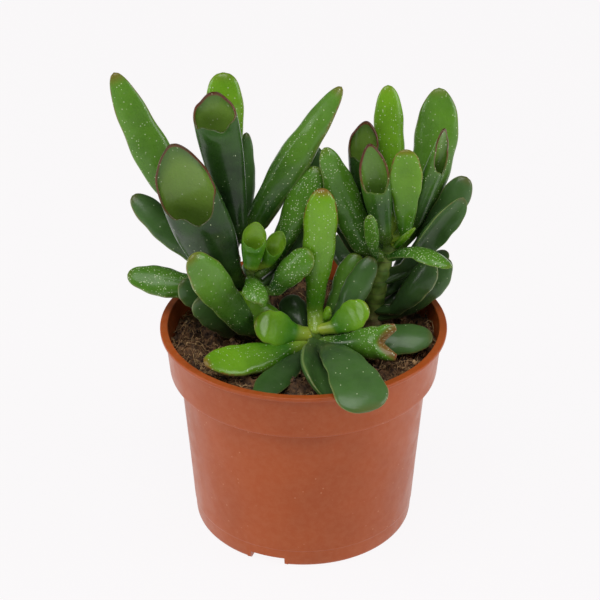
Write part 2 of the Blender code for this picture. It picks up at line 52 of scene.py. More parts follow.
def linear(hexColour):
    # sRGB hex to linear red, green, blue, with alpha 1
    parts = [int(hexColour[i:i + 2], 16) / 255 for i in (1, 3, 5)]
    return tuple(p / 12.92 if p <= 0.04045 else ((p + 0.055) / 1.055) ** 2.4 for p in parts) + (1.0,)


def addNode(tree, kind, inputs=None, output=0, **settings):
    # adds one node and gives back one of its outputs: settings are its properties, and inputs map a socket
    # to a value or to another node's output
    made = tree.nodes.new("ShaderNode" + kind)
    for key, value in settings.items():
        setattr(made, key, value)
    for key, value in (inputs or {}).items():
        if isinstance(value, bpy.types.NodeSocket):
            tree.links.new(value, made.inputs[key])
        else:
            made.inputs[key].default_value = value
    return made.outputs[output]


def newMaterial(name):
    # a material, addNode with its tree already filled in, and its shader
    made = bpy.data.materials.new(name)
    made.use_nodes = True
    return made, functools.partial(addNode, made.node_tree), made.node_tree.nodes["Principled BSDF"]


def unit(v):
    # vectors brought to length 1
    return v / np.maximum(np.linalg.norm(v, axis=-1, keepdims=True), 1e-12)


def smooth(x):
    # smooth step from 0 to 1
    x = np.clip(x, 0, 1)
    return x * x * (3 - 2 * x)


def toward(heading, elevation):
    # the direction at a heading from +X round Z, raised by an elevation
    h, e = math.radians(heading), math.radians(elevation)
    return np.array([math.cos(h) * math.cos(e), math.sin(h) * math.cos(e), math.sin(e)])


def ringFaces(rows, columns, start=0):
    # quads of a grid of rows whose columns close round, numbered from start
    low = start + np.arange(rows - 1)[:, None] * columns
    here, after = np.arange(columns), (np.arange(columns) + 1) % columns
    quads = np.stack([low + here, low + after, low + columns + after, low + columns + here], axis=-1)
    return quads.reshape(-1, 4)


def closedSurface(name, points, first, last, attributes=None):
    # rings of points (rows x columns x 3) closed by a pole at each end; attributes are rows x columns
    rows, columns = points.shape[:2]
    everything = np.vstack([[first], points.reshape(-1, 3), [last]]) * toMetres
    quads = ringFaces(rows, columns, 1)
    here, after = np.arange(columns), (np.arange(columns) + 1) % columns
    top = 1 + (rows - 1) * columns
    startFan = np.stack([np.zeros(columns, int), 1 + after, 1 + here], axis=1)
    endFan = np.stack([np.full(columns, rows * columns + 1), top + here, top + after], axis=1)
    mesh = bpy.data.meshes.new(name)
    mesh.from_pydata(everything.tolist(), [], quads.tolist() + startFan.tolist() + endFan.tolist())
    for key, values in (attributes or {}).items():
        values = np.broadcast_to(values, (rows, columns))
        padded = np.concatenate([[values[0].mean()], values.ravel(), [values[-1].mean()]])
        mesh.attributes.new(key, "FLOAT", "POINT").data.foreach_set("value", padded.astype(np.float32))
    mesh.shade_smooth()
    return mesh


def volumeSign(mesh):
    # positive where a closed mesh's faces point outwards
    mesh.calc_loop_triangles()
    co = np.empty(len(mesh.vertices) * 3)
    mesh.vertices.foreach_get("co", co)
    tri = np.empty(len(mesh.loop_triangles) * 3, int)
    mesh.loop_triangles.foreach_get("vertices", tri)
    p = co.reshape(-1, 3)[tri.reshape(-1, 3)]
    return np.einsum("ij,ij->", p[:, 0], np.cross(p[:, 1], p[:, 2]))


def addPiece(name, mesh, material, slot, *nodes):
    # one finished piece of the plant: its faces turned outwards, its material, and the solids that it stands for;
    # slot is not used
    if volumeSign(mesh) < 0:
        mesh.flip_normals()
    mesh.materials.append(material)
    piece = bpy.data.objects.new(name, mesh)
    bpy.context.scene.collection.objects.link(piece)
    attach(piece, "root")
    if nodes:
        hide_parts(*nodes)
    return piece


# camera: upright, looking down at the plant from the front

camera = {"place": (-0.9, -655.9, 475.7), "down": 29.65, "yaw": 0.05, "lens": 109.0}


def addCamera():
    data = bpy.data.cameras.new("camera")
    data.lens = camera["lens"]
    data.sensor_width = 36
    made = bpy.data.objects.new("camera", data)
    bpy.context.scene.collection.objects.link(made)
    made.location = [v * toMetres for v in camera["place"]]
    made.rotation_euler = (math.radians(90 - camera["down"]), 0, math.radians(camera["yaw"]))
    bpy.context.scene.camera = made


addCamera()
print("camera placed")


# pot: injection-moulded polypropylene

pot = {
    "height": 92.0, "rim": 60.0, "lipOverhang": 2.0, "lip": 1.8, "collarTaper": 1.7, "collar": 21.0,
    "shoulder": 1.5, "shoulderStep": 4.1, "bodyTaper": 5.4, "baseEdge": 2.0, "wall": 1.3, "floor": 1.6,
    "channels": (-109.0, 11.0, 131.0), "channelWidth": 15.0, "channelHeight": 3.8, "channelLength": 16.0,
    "drain": 3.2, "footLine": 8.5, "columns": 240, "colour": "#b1501a", "deep": "#a64a18", "dust": "#c98a62",
}
collarTop = pot["rim"] - pot["lipOverhang"]
collarBottom = collarTop - pot["collarTaper"]
bodyTop = collarBottom - pot["shoulderStep"]
baseRadius = bodyTop - pot["bodyTaper"]


def innerRadius(height):
    # inside of the pot's wall at a height: one straight taper in the body, another in the collar
    shoulder = pot["height"] - pot["collar"] + pot["shoulder"]
    body = baseRadius + pot["bodyTaper"] * np.clip(height / (pot["height"] - pot["collar"]), 0, 1)
    collar = collarBottom + pot["collarTaper"] * (height - shoulder) / (pot["height"] - shoulder)
    return np.where(np.asarray(height) >= shoulder, collar, body) - pot["wall"]


def rounded(corners, steps=6):
    # a profile of (radius, height, fillet) corners: each becomes a quadratic curve between its fillet ends
    points = []
    for i, (r, z, fillet) in enumerate(corners):
        here = np.array([r, z])
        if fillet == 0 or i in (0, len(corners) - 1):
            points.append(here)
            continue
        before, after = (np.array(corners[j][:2]) for j in (i - 1, i + 1))
        a = here + unit(before - here) * fillet
        b = here + unit(after - here) * fillet
        t = np.linspace(0, 1, steps + 1)[:, None]
        points.extend((1 - t) ** 2 * a + 2 * t * (1 - t) * here + t**2 * b)
    return np.array(points)


def potProfile():
    # up the outside, over the lip and down the inside to the floor; at() is the tapered wall's radius
    shoulder = pot["height"] - pot["collar"]
    top = pot["height"]
    under = top - pot["lip"]
    line, proud, soft = pot["footLine"], 0.16, 0.5
    at = lambda z: baseRadius + pot["bodyTaper"] * z / shoulder
    within = lambda z: float(innerRadius(z))
    return rounded([
        (baseRadius - 9, 0.0, 0), (baseRadius, 0.0, pot["baseEdge"]),
        (at(line - 0.5), line - 0.5, 0.15), (at(line) + proud, line, 0.15),
        (at(line + 0.4) + proud, line + 0.4, 0.15), (at(30.0), 30.0, 0), (at(50.0), 50.0, 0),
        (bodyTop, shoulder, 0.9), (collarBottom - 0.2, shoulder + 0.2, soft),
        (collarBottom + 0.1, shoulder + pot["shoulder"], soft), (collarTop, under, 0.7),
        (pot["rim"] - 0.1, under - 0.1, 0.7), (pot["rim"], top, 0.85),
        (within(top), top, soft), (within(shoulder + 1.5), shoulder + 1.5, soft),
        (within(shoulder), shoulder + 0.5, soft), (within(1.6), pot["floor"], 0.8),
        (10.0, pot["floor"], 0),
    ])


def boxMesh(name, low, high, heading):
    # a box between two corners, turned about the Z axis
    corners = np.stack(np.meshgrid(*zip(low, high), indexing="ij"), axis=-1).reshape(-1, 3)
    c, s = math.cos(math.radians(heading)), math.sin(math.radians(heading))
    corners[:, :2] = corners[:, :2] @ np.array([[c, s], [-s, c]])
    faces = [(0, 1, 3, 2), (4, 6, 7, 5), (0, 4, 5, 1), (2, 3, 7, 6), (0, 2, 6, 4), (1, 5, 7, 3)]
    mesh = bpy.data.meshes.new(name)
    mesh.from_pydata((corners * toMetres).tolist(), [], faces)
    return mesh


def roundCutter(name, x, radius, low, high, heading):
    # a vertical round cutter at a distance from the axis
    turn = np.linspace(0, 2 * np.pi, 33)[:-1]
    c, s = math.cos(math.radians(heading)), math.sin(math.radians(heading))
    ring = np.stack([x * c + radius * np.cos(turn), x * s + radius * np.sin(turn)], axis=1)
    rows = np.stack([np.column_stack([ring, np.full(32, z)]) for z in (low, high)])
    return closedSurface(name, rows, (x * c, x * s, low), (x * c, x * s, high))


def cutMesh(mesh, steps):
    # applies Booleans to a mesh: steps are (operation, other mesh)
    scene = bpy.context.scene
    body = bpy.data.objects.new("cutBody", mesh)
    scene.collection.objects.link(body)
    helpers = []
    for operation, other in steps:
        helper = bpy.data.objects.new(other.name, other)
        scene.collection.objects.link(helper)
        helpers.append(helper)
        modifier = body.modifiers.new(other.name, "BOOLEAN")
        modifier.operation = operation
        modifier.object = helper
        modifier.solver = "EXACT"
    result = bpy.data.meshes.new_from_object(body.evaluated_get(bpy.context.evaluated_depsgraph_get()))
    for made in [body, *helpers]:
        bpy.data.objects.remove(made, do_unlink=True)
    return result


def potMaterial():
    # injection-moulded polypropylene: satin, slightly uneven in colour, with dust specks and fine scratches
    made, add, shader = newMaterial("mouldedPolypropylene")
    where = add("TexCoord", output="Object")
    # clouds of the deeper tone about 45 mm across, and a faint mottle about 3 mm across
    clouds = add("TexNoise", {"Vector": where, "Scale": perMetre / 45, "Detail": 3})
    clouds = add("MapRange", {0: clouds, 1: 0.35, 2: 0.7}, **smoothRange)
    base = add("Mix", {0: clouds, 6: linear(pot["colour"]), 7: linear(pot["deep"])}, **colourMix)
    mottle = add("TexNoise", {"Vector": where, "Scale": perMetre / 3, "Detail": 5, "Roughness": 0.65})
    mottle = add("MapRange", {0: mottle, 1: 0.3, 2: 0.75, 4: 0.12}, **smoothRange)
    base = add("Mix", {0: mottle, 6: base, 7: linear(pot["dust"])}, **colourMix)
    # dust: specks about 0.5 mm across, one in each cell of 3.4 mm, thinned out by patches about 26 mm across
    specks = add("TexVoronoi", {"Vector": where, "Scale": perMetre / 3.4}, output="Distance")
    specks = add("MapRange", {0: specks, 1: 0.075, 2: 0.13, 3: 1, 4: 0}, **smoothRange)
    patches = add("TexNoise", {"Vector": where, "Scale": perMetre / 26, "Detail": 2})
    patches = add("MapRange", {0: patches, 1: 0.47, 2: 0.62}, **smoothRange)
    dust = add("Math", {0: specks, 1: patches}, operation="MULTIPLY")
    # scratches: noise drawn out along the pot's girth, a few millimetres long
    drawn = add("Mapping", {"Vector": where, "Scale": (0.12, 0.12, 1.6)})
    scratch = add("TexNoise", {"Vector": drawn, "Scale": perMetre / 0.9, "Detail": 2})
    scratch = add("MapRange", {0: scratch, 1: 0.73, 2: 0.8}, **smoothRange)
    scratch = add("Math", {0: scratch, 1: 0.45}, operation="MULTIPLY")
    marks = add("Math", {0: dust, 1: scratch}, operation="MAXIMUM")
    marks = add("Math", {0: marks, 1: 0.6}, operation="MULTIPLY")
    base = add("Mix", {0: marks, 6: base, 7: linear(pot["dust"])}, **colourMix)
    made.node_tree.links.new(base, shader.inputs["Base Color"])
    rough = add("TexNoise", {"Vector": where, "Scale": perMetre / 8, "Detail": 4})
    rough = add("MapRange", {0: rough, 1: 0.3, 2: 0.7, 3: 0.30, 4: 0.42}, **smoothRange)
    made.node_tree.links.new(rough, shader.inputs["Roughness"])
    # moulded grain just under 1 mm across, on a wall that wavers over 18 mm
    grain = add("TexNoise", {"Vector": where, "Scale": perMetre / 0.9, "Detail": 3})
    grain = add("Bump", {"Height": grain, "Strength": 0.12, "Distance": 0.0001})
    waver = add("TexNoise", {"Vector": where, "Scale": perMetre / 18, "Detail": 1})
    waver = add("Bump", {"Height": waver, "Strength": 0.35, "Distance": 0.0006, "Normal": grain})
    made.node_tree.links.new(waver, shader.inputs["Normal"])
    shader.inputs["IOR"].default_value = 1.49
    shader.inputs["Specular IOR Level"].default_value = 0.32
    return made


def makePot():
    # the profile turned about Z, then covers joined on and channels and drain holes cut out
    profile = potProfile()
    turn = 2 * np.pi * np.arange(pot["columns"]) / pot["columns"]
    rows = np.stack([profile[:, :1] * np.cos(turn), profile[:, :1] * np.sin(turn),
                     np.repeat(profile[:, 1:], pot["columns"], axis=1)], axis=-1)
    body = closedSurface("potBody", rows, (0, 0, 0), (0, 0, pot["floor"]))
    inner = baseRadius - pot["channelLength"]
    half, thick = pot["channelWidth"] / 2, pot["floor"]
    roof = pot["channelHeight"] + thick
    steps = []
    middle = inner + pot["channelLength"] / 2
    for i, turned in enumerate(pot["channels"]):
        cover = boxMesh(f"cover{i}", (inner - thick, -half - thick, thick / 2),
                        (baseRadius - pot["wall"] / 2, half + thick, roof), turned)
        outside = (baseRadius + 5, half, pot["channelHeight"])
        channel = boxMesh(f"channel{i}", (inner, -half, -1), outside, turned)
        drain = roundCutter(f"drain{i}", middle, pot["drain"], 1.0, roof + 2, turned)
        steps += [("UNION", cover), ("DIFFERENCE", channel), ("DIFFERENCE", drain)]
    mesh = cutMesh(body, steps)
    mesh.materials.clear()
    mesh.shade_smooth()
    mesh.set_sharp_from_angle(angle=math.radians(32))
    return addPiece("nurseryPot", mesh, potMaterial(), "terracotta_plastic", "pot")


makePot()
print("pot made")


# soil: peat with coir fibre

soil = {
    "drop": 9.0, "bottom": 6.5, "relief": 1.6, "gutter": 1.6, "waves": 70, "shortest": 1.6, "longest": 16.0,
    "columns": 260, "rings": 110, "crumbs": 1500, "crumbReach": 55.0, "fibres": 900, "fibreReach": 53.0,
    "dark": "#38261c", "brown": "#8a6441", "tan": "#cfa877", "pale": "#e6dbbb",
}
soilLevel = pot["height"] - soil["drop"]
rng = np.random.default_rng(7)
soilWaves = rng.normal(size=(soil["waves"], 2))
soilLengths = np.exp(rng.uniform(np.log(soil["shortest"]), np.log(soil["longest"]), soil["waves"]))
soilWaves *= (2 * np.pi / soilLengths / np.linalg.norm(soilWaves, axis=1))[:, None]
soilPhases = rng.uniform(0, 2 * np.pi, soil["waves"])
soilAmounts = 0.9 * (2 * np.pi / np.linalg.norm(soilWaves, axis=1) / soil["longest"]) ** 0.75


def soilHeight(x, y, fine=1.0):
    # broad waves as in the solid, plus many crossing cosines of all lengths, stronger when longer
    broad = np.sin(0.13 * x + 0.6) * np.cos(0.11 * y - 0.4) + 0.5 * np.sin(0.29 * y + 0.17 * x)
    flat = np.stack([np.ravel(x), np.ravel(y)], axis=1)
    rough = (np.cos(flat @ soilWaves.T + soilPhases) * soilAmounts).sum(1).reshape(np.shape(x))
    return soilLevel + soil["relief"] * broad * 0.7 + fine * rough * 0.42


def soilMaterial():
    # damp peat: nearly black hollows, brown crumbs about 4 mm across, tan fibre dust; quite matt
    made, add, shader = newMaterial("dampPeat")
    where = add("TexCoord", output="Object")
    lumps = add("TexNoise", {"Vector": where, "Scale": perMetre / 4, "Detail": 6, "Roughness": 0.7})
    lumps = add("MapRange", {0: lumps, 1: 0.35, 2: 0.68}, **smoothRange)
    base = add("Mix", {0: lumps, 6: linear(soil["dark"]), 7: linear(soil["brown"])}, **colourMix)
    bits = add("TexNoise", {"Vector": where, "Scale": perMetre / 1.3, "Detail": 4, "Roughness": 0.7})
    bits = add("MapRange", {0: bits, 1: 0.6, 2: 0.72}, **smoothRange)
    bits = add("Math", {0: bits, 1: 0.55}, operation="MULTIPLY")
    base = add("Mix", {0: bits, 6: base, 7: linear(soil["tan"])}, **colourMix)
    made.node_tree.links.new(base, shader.inputs["Base Color"])
    shader.inputs["Roughness"].default_value = 0.85
    grit = add("TexNoise", {"Vector": where, "Scale": perMetre, "Detail": 6, "Roughness": 0.7})
    grit = add("Bump", {"Height": grit, "Strength": 0.9, "Distance": 0.0006})
    made.node_tree.links.new(grit, shader.inputs["Normal"])
    return made


def crumbMaterial():
    # peat crumbs and coir fibre: each piece has its own tone, from black-brown through tan to straw
    made, add, shader = newMaterial("coirFibre")
    where = add("TexCoord", output="Object")
    tone = add("Attribute", output="Fac", attribute_name="tone")
    base = linear(soil["dark"])
    for low, high, colour in ((0.15, 0.6, "brown"), (0.6, 0.86, "tan"), (0.93, 1.0, "pale")):
        share = add("MapRange", {0: tone, 1: low, 2: high}, **smoothRange)
        base = add("Mix", {0: share, 6: base, 7: linear(soil[colour])}, **colourMix)
    dirt = add("TexNoise", {"Vector": where, "Scale": perMetre / 0.8, "Detail": 4})
    dirt = add("MapRange", {0: dirt, 1: 0.4, 2: 0.8, 4: 0.6}, **smoothRange)
    base = add("Mix", {0: dirt, 6: base, 7: linear(soil["dark"])}, **colourMix)
    made.node_tree.links.new(base, shader.inputs["Base Color"])
    shader.inputs["Roughness"].default_value = 0.75
    grit = add("TexNoise", {"Vector": where, "Scale": perMetre / 0.5, "Detail": 4})
    grit = add("Bump", {"Height": grit, "Strength": 0.7, "Distance": 0.0003})
    made.node_tree.links.new(grit, shader.inputs["Normal"])
    return made


def makeSoil():
    # a disc on polar rings, closed underneath by a flat bottom inside the pot
    turn = 2 * np.pi * np.arange(soil["columns"]) / soil["columns"]
    edge = float(innerRadius(soilLevel)) - gap
    share = np.linspace(1.0, 1.0 / soil["rings"], soil["rings"])[:, None]
    x, y = edge * share * np.cos(turn), edge * share * np.sin(turn)
    top = np.stack([x, y, soilHeight(x, y)], axis=-1)
    # a shallow gutter at the wall, as when soil shrinks from it
    top[..., 2] -= soil["gutter"] * smooth((np.hypot(x, y) - edge + 4) / 4)
    shoulder = pot["height"] - pot["collar"]
    radii = innerRadius(np.array([soil["bottom"], shoulder, shoulder + 1.5]))[:, None] - gap
    levels = np.array([soil["bottom"], shoulder + 0.9, shoulder + 2.1])[:, None] + 0 * turn
    below = np.stack([radii * np.cos(turn), radii * np.sin(turn), levels], axis=-1)
    rows = np.concatenate([below, top])
    peak = float(soilHeight(np.zeros(1), np.zeros(1))[0])
    mesh = closedSurface("soilBody", rows, (0, 0, soil["bottom"]), (0, 0, peak))
    return addPiece("pottingSoil", mesh, soilMaterial(), "peat", "potting_soil")


def scatterPlaces(count, edge):
    # even random places on a disc
    radius = edge * np.sqrt(rng.uniform(0, 1, count))
    turn = rng.uniform(0, 2 * np.pi, count)
    return radius * np.cos(turn), radius * np.sin(turn)


def makeCrumbs():
    # each crumb is a 26-point ball, squashed, knocked out of round and turned at random
    grid = np.array([[i, j, k] for i in (-1, 0, 1) for j in (-1, 0, 1) for k in (-1, 0, 1)], float)
    ball = np.delete(grid, 13, axis=0)
    index = {tuple(p): n for n, p in enumerate(ball)}
    quads = []
    for axis in range(3):
        for side in (-1, 1):
            for a in (-1, 0):
                for b in (-1, 0):
                    loop = [(a, b), (a + 1, b), (a + 1, b + 1), (a, b + 1)]
                    corners = [tuple(float(v) for v in np.insert(c, axis, side)) for c in loop]
                    quads.append([index[c] for c in (corners if side * (-1) ** axis > 0 else corners[::-1])])
    quads = np.array(quads)
    count = soil["crumbs"]
    x, y = scatterPlaces(count, soil["crumbReach"])
    size = np.exp(rng.normal(np.log(0.62), 0.42, count)).clip(0.3, 1.8)
    turn, _ = np.linalg.qr(rng.normal(size=(count, 3, 3)))
    turn *= np.sign(np.linalg.det(turn))[:, None, None]
    squash = rng.uniform(0.55, 1.25, (count, 1, 3))
    shape = unit(ball)[None] * squash * (1 + 0.22 * rng.normal(size=(count, 26, 1)))
    points = np.einsum("nij,nkj->nki", turn, shape) * size[:, None, None]
    points += np.stack([x, y, soilHeight(x, y) + size * 0.25], axis=1)[:, None]
    faces = quads[None] + 26 * np.arange(count)[:, None, None]
    mesh = bpy.data.meshes.new("crumbs")
    mesh.from_pydata((points.reshape(-1, 3) * toMetres).tolist(), [], faces.reshape(-1, 4).tolist())
    tone = np.repeat(rng.beta(1.6, 2.2, count), 26)
    mesh.attributes.new("tone", "FLOAT", "POINT").data.foreach_set("value", tone.astype(np.float32))
    mesh.shade_smooth()
    return addPiece("peatCrumbs", mesh, coir, "peat")


def makeFibres():
    # each fibre is a three-sided tube on a wandering path that hugs the soil, thinning towards both ends
    count, steps = soil["fibres"], 9
    x, y = scatterPlaces(count, soil["fibreReach"])
    # most of the coir lies in a tuft at the left and along the right-hand edge
    tuft = rng.random(count) < 0.42
    angle = np.where(rng.random(count) < 0.62, rng.normal(205, 22, count), rng.normal(-25, 22, count))
    radius = 54 - np.abs(rng.normal(0, 9, count))
    x = np.where(tuft, radius * np.cos(np.radians(angle)), x)
    y = np.where(tuft, radius * np.sin(np.radians(angle)), y)
    length = np.exp(rng.normal(np.log(5.0), 0.45, count)).clip(2, 13)
    heading = rng.uniform(0, 2 * np.pi, count)
    swing = rng.normal(0, 0.5, (count, steps)).cumsum(axis=1) * 0.8
    stepX = np.cos(heading[:, None] + swing) * length[:, None] / steps
    stepY = np.sin(heading[:, None] + swing) * length[:, None] / steps
    px, py = x[:, None] + stepX.cumsum(1), y[:, None] + stepY.cumsum(1)
    reach = np.hypot(px, py)
    inside = np.minimum(1.0, 55.5 / np.maximum(reach, 1e-6))
    px, py = px * inside, py * inside
    t = np.linspace(0, 1, steps)
    hump = rng.uniform(0.0, 1.6, count)[:, None] * np.sin(np.pi * t)
    pz = soilHeight(px, py, 0.8) + 0.45 + hump
    path = np.stack([px, py, pz], axis=-1)
    forward = unit(np.gradient(path, axis=1))
    side = unit(np.cross(forward, [0.0, 0.0, 1.0]))
    lift = np.cross(side, forward)
    thick = rng.uniform(0.09, 0.24, count)[:, None] * (0.45 + 0.55 * np.sin(np.pi * t) ** 0.5)
    around = 2 * np.pi * np.arange(3) / 3
    rings = (path[:, :, None] + side[:, :, None] * (thick[:, :, None] * np.cos(around))[..., None]
             + lift[:, :, None] * (thick[:, :, None] * np.sin(around))[..., None])
    quads = ringFaces(steps, 3)
    caps = np.array([[0, 2, 1], [3 * steps - 3, 3 * steps - 2, 3 * steps - 1]])
    jump = 3 * steps * np.arange(count)[:, None, None]
    mesh = bpy.data.meshes.new("fibres")
    mesh.from_pydata((rings.reshape(-1, 3) * toMetres).tolist(), [],
                     (quads + jump).reshape(-1, 4).tolist() + (caps + jump).reshape(-1, 3).tolist())
    tone = np.repeat(np.where(tuft, rng.uniform(0.55, 0.95, count), rng.beta(2.2, 2.0, count)), 3 * steps)
    mesh.attributes.new("tone", "FLOAT", "POINT").data.foreach_set("value", tone.astype(np.float32))
    mesh.shade_smooth()
    return addPiece("coirFibres", mesh, coir, "peat")


coir = crumbMaterial()
makeSoil()
makeCrumbs()
makeFibres()
print("soil made")


# stems: green, swollen at the leaf joints, browner and rougher towards the soil

stems = {
    "left": {"foot": (-26, 6), "top": (-31, 9), "rise": 44, "radius": 5.6, "tip": 4.4},
    "middle": {"foot": (-13, -1), "top": (-22, -3), "rise": 37, "radius": 5.0, "tip": 3.9},
    "front": {"foot": (5, -9), "top": (5, -13), "rise": 13, "radius": 5.0, "tip": 4.4},
    "right": {"foot": (29, 12), "top": (36, 12), "rise": 42, "radius": 5.8, "tip": 4.7},
}
stemLook = {"rows": 160, "columns": 48, "rooted": 22.0, "share": 0.74, "joints": 7.0,
            "green": "#567a28", "pale": "#86a046", "bark": "#7a6a48", "scar": "#5b4630"}


def stemAxis(stem, up):
    # the axis at heights above the soil: it leans over more slowly near its foot
    lean = np.maximum(up / stem["rise"], 0.0) ** 1.3
    x, y = (a + (b - a) * lean for a, b in zip(stem["foot"], stem["top"]))
    return np.stack([x, y, soilLevel + up], axis=-1)


def stemRadius(stem, up):
    # straight taper from the foot to the tip
    share = np.clip(up / stem["rise"], 0, 1)
    return stem["radius"] + (stem["tip"] - stem["radius"]) * share


def stemMaterial():
    # young succulent bark: pale green skin that turns to brown-grey bark below, with darker leaf scars
    made, add, shader = newMaterial("succulentBark")
    where = add("TexCoord", output="Object")
    along = add("Attribute", output="Fac", attribute_name="along")
    scar = add("Attribute", output="Fac", attribute_name="scar")
    skin = add("TexNoise", {"Vector": where, "Scale": perMetre / 5, "Detail": 4})
    skin = add("MapRange", {0: skin, 1: 0.35, 2: 0.65}, **smoothRange)
    green, pale, barkBrown, scarBrown = (linear(stemLook[key]) for key in ("green", "pale", "bark", "scar"))
    base = add("Mix", {0: skin, 6: green, 7: pale}, **colourMix)
    # the bark climbs higher in some places: its edge follows the height plus noise 4 mm across
    ragged = add("TexNoise", {"Vector": where, "Scale": perMetre / 4, "Detail": 5, "Roughness": 0.7})
    ragged = add("Math", {0: ragged, 1: 0.5}, operation="MULTIPLY")
    ragged = add("Math", {0: along, 1: ragged}, operation="ADD")
    ragged = add("MapRange", {0: ragged, 1: 0.25, 2: 0.6, 3: 1, 4: 0}, **smoothRange)
    base = add("Mix", {0: ragged, 6: base, 7: barkBrown}, **colourMix)
    scar = add("Math", {0: scar, 1: 0.75}, operation="MULTIPLY")
    base = add("Mix", {0: scar, 6: base, 7: scarBrown}, **colourMix)
    made.node_tree.links.new(base, shader.inputs["Base Color"])
    shader.inputs["Roughness"].default_value = 0.55
    # fine furrows, four times as long as they are wide
    drawn = add("Mapping", {"Vector": where, "Scale": (1.0, 1.0, 0.25)})
    furrows = add("TexNoise", {"Vector": drawn, "Scale": perMetre, "Detail": 5, "Roughness": 0.65})
    furrows = add("Bump", {"Height": furrows, "Strength": 0.5, "Distance": 0.0004})
    made.node_tree.links.new(furrows, shader.inputs["Normal"])
    return made


def makeStem(name, stem, material):
    # circles along the axis whose radius swells at the joints between leaf pairs and closes over the tip
    up = np.concatenate([[-stemLook["rooted"]], np.linspace(-6, stem["rise"], stemLook["rows"] - 1)])
    joint = 0.5 + 0.5 * np.cos(2 * np.pi * (up + 1.4 * np.sin(up / 3.7)) / stemLook["joints"])
    close = np.sqrt(1 - np.clip(1 - (stem["rise"] + 0.2 - up) / 4.5, 0, 1) ** 2)
    radius = stemRadius(stem, up) * stemLook["share"] * (0.95 + 0.05 * joint**4) * close
    turn = 2 * np.pi * np.arange(stemLook["columns"]) / stemLook["columns"]
    knobs = 1 + 0.03 * np.cos(3 * turn + 1.1 * up[:, None]) + 0.02 * np.cos(5 * turn - 0.7 * up[:, None])
    axis = stemAxis(stem, up)
    spread = np.minimum(radius[:, None] * knobs, stemRadius(stem, up)[:, None])
    ring = np.stack([spread * np.cos(turn), spread * np.sin(turn), np.zeros_like(spread)], axis=-1)
    scars = 0.8 * smooth(1 - np.abs(joint - 0.5) / 0.12)
    attributes = {"along": np.clip(up / stem["rise"], 0, 1)[:, None], "scar": scars[:, None]}
    mesh = closedSurface(name, axis[:, None] + ring, axis[0] - [0, 0, 3], axis[-1] + [0, 0, 0.3], attributes)
    addPiece(name + "StemSkin", mesh, material, "green_bark", name + "_stem")


bark = stemMaterial()
for stemName, stemValues in stems.items():
    makeStem(stemName, stemValues, bark)
print("stems made")


# leaves: thick waxy blades, some rolled into horns

faceOn = (-90, 33)  # heading and elevation that a leaf looks towards when its face is turned to the viewer
looks = {
    "fresh": {"base": "#74a81d", "deep": "#31670a", "foot": "#a3bd3c", "pale": "#528a1a",
        "specks": 0.35, "red": 0.9, "bloom": 0.03, "rough": 0.24},
    "bud": {"base": "#76a81c", "deep": "#37700c", "foot": "#b5c240", "pale": "#86b029",
        "specks": 0.05, "red": 0.6, "bloom": 0.02, "rough": 0.25},
    "jade": {"base": "#5e8f24", "deep": "#234c0d", "foot": "#6f9432", "pale": "#6b9232",
        "specks": 0.24, "red": 1.0, "bloom": 0.08, "rough": 0.25},
    "starry": {"base": "#56891f", "deep": "#26520d", "foot": "#6f9532", "pale": "#6f9a30",
        "specks": 1.0, "red": 0.8, "bloom": 0.05, "rough": 0.27},
    "grey": {"base": "#426a2a", "deep": "#1a3611", "foot": "#436427", "pale": "#6a8a48",
        "specks": 0.05, "red": 1.0, "bloom": 0.12, "rough": 0.30},
    "horn": {"base": "#3c6a1c", "deep": "#10290a", "foot": "#3d6220", "pale": "#86aa40",
        "specks": 0.06, "red": 1.0, "bloom": 0.04, "rough": 0.28},
    # dark: a darker copy of the leaf colours for the low and inner leaves, mostly painted shade
    "dark": {"base": "#375c22", "deep": "#19340f", "foot": "#3f6128", "pale": "#55743a",
        "specks": 0.03, "red": 0.6, "bloom": 0.10, "rough": 0.30},
}
leafTones = {"bloom": "#93aa84", "margin": "#a3b56c", "red": "#87482a", "brown": "#4d2413",
             "speck": "#d5e3b8"}
leafShine = {
    "IOR": 1.45, "Specular IOR Level": 0.28, "Coat Weight": 0.25, "Coat Roughness": 0.14,
    "Subsurface Weight": 0.12, "Subsurface Radius": (0.6, 1.0, 0.25), "Subsurface Scale": 0.0015,
}
leafCommon = {
    "style": "jade", "red": 0.35,  # which look it has, and how strongly it is flushed
    "look": None, "side": None,  # where its face and its foot point, if not up and outwards
    "bend": 0.0, "sway": 0.0, "curl": 0.0,  # degrees that it turns: towards its face, sideways, rolled up
    "thick": 6.0, "plump": 1.45, "edge": 0.12,  # thickness, how much fuller a flat blade is, and its edge
    "neck": 0.45, "peak": 0.66, "point": 2.2,  # width of the foot, place of the full width, and bluntness
    "hollow": 0.0, "wave": 0.25, "fork": 0.0,  # dished face, wavy margin and forked tip of a blade
    "lip": 0.0, "ear": 1.0, "cup": 0.2, "rim": 0.9,  # a horn's mouth: low side, slant, depth and wall
    "ragged": 0.012, "bulge": 0.0,  # unevenness of the mouth, and a swelling below its lip
    "rows": 84, "columns": 56,
}


def leaf(up, heading, pitch, reach, width, **changes):
    # one leaf: height of its foot over the soil, how it heads and rises, its reach and width, and what differs
    return {**leafCommon, "up": up, "heading": heading, "pitch": pitch, "reach": reach, "width": width, **changes}


